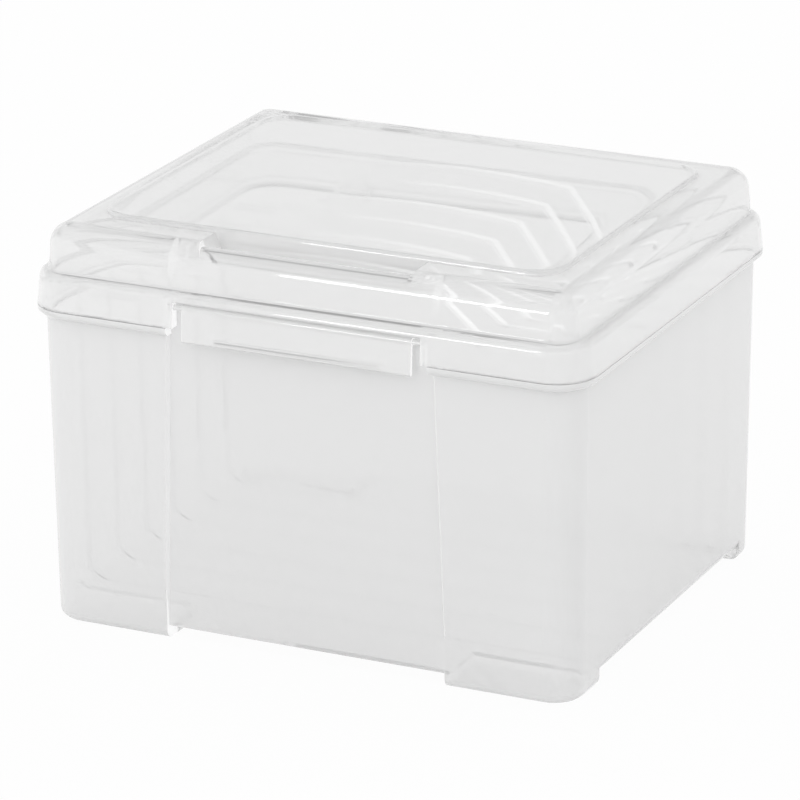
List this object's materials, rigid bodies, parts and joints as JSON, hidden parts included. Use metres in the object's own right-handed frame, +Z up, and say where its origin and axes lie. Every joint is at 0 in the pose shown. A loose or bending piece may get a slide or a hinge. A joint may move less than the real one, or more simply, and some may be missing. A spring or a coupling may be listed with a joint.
{
  "type": "card storage case",
  "caption": "Clear rectangular case with a hinged domed lid, a front latch flap and upright dividers in moulded slots, for filing cards.",
  "frame": {"origin": "centre of the case's footprint, on the surface that its feet stand on", "axes": "+Z up, the front with the latch faces -Y, +X to the right seen from the front"},
  "size_m": [0.27, 0.2304, 0.1902],
  "materials": {
    "clear_bin": "clear polished",
    "clear_lid": "clear polished",
    "clear_latch": "clear polished",
    "clear_dividers": "clear, slightly hazy"
  },
  "bodies": {
    "bin": {"bin": "clear_bin"},
    "lid": {"lid": "clear_lid"},
    "latch": {"front_latch": "clear_latch"},
    "divider_1": {"divider_1": "clear_dividers"},
    "divider_2": {"divider_2": "clear_dividers"},
    "divider_3": {"divider_3": "clear_dividers"},
    "divider_4": {"divider_4": "clear_dividers"},
    "divider_5": {"divider_5": "clear_dividers"},
    "divider_6": {"divider_6": "clear_dividers"}
  },
  "joints": [
    {"name": "lid_hinge", "type": "hinge", "parent": "bin", "child": "lid", "pos_m": [0, 0.1143, 0.1472], "axis": [-1, 0, 0], "range_deg": [0, 110]},
    {"name": "latch_hinge", "type": "hinge", "parent": "lid", "child": "latch", "pos_m": [0, -0.1103, 0.1595], "axis": [-1, 0, 0], "range_deg": [0, 60]},
    {"name": "divider_1_lift", "type": "slide", "parent": "bin", "child": "divider_1", "axis": [0, 0, 1], "range_m": [0, 0.008]},
    {"name": "divider_2_lift", "type": "slide", "parent": "bin", "child": "divider_2", "axis": [0, 0, 1], "range_m": [0, 0.008]},
    {"name": "divider_3_lift", "type": "slide", "parent": "bin", "child": "divider_3", "axis": [0, 0, 1], "range_m": [0, 0.008]},
    {"name": "divider_4_lift", "type": "slide", "parent": "bin", "child": "divider_4", "axis": [0, 0, 1], "range_m": [0, 0.008]},
    {"name": "divider_5_lift", "type": "slide", "parent": "bin", "child": "divider_5", "axis": [0, 0, 1], "range_m": [0, 0.008]},
    {"name": "divider_6_lift", "type": "slide", "parent": "bin", "child": "divider_6", "axis": [0, 0, 1], "range_m": [0, 0.008]}
  ]
}
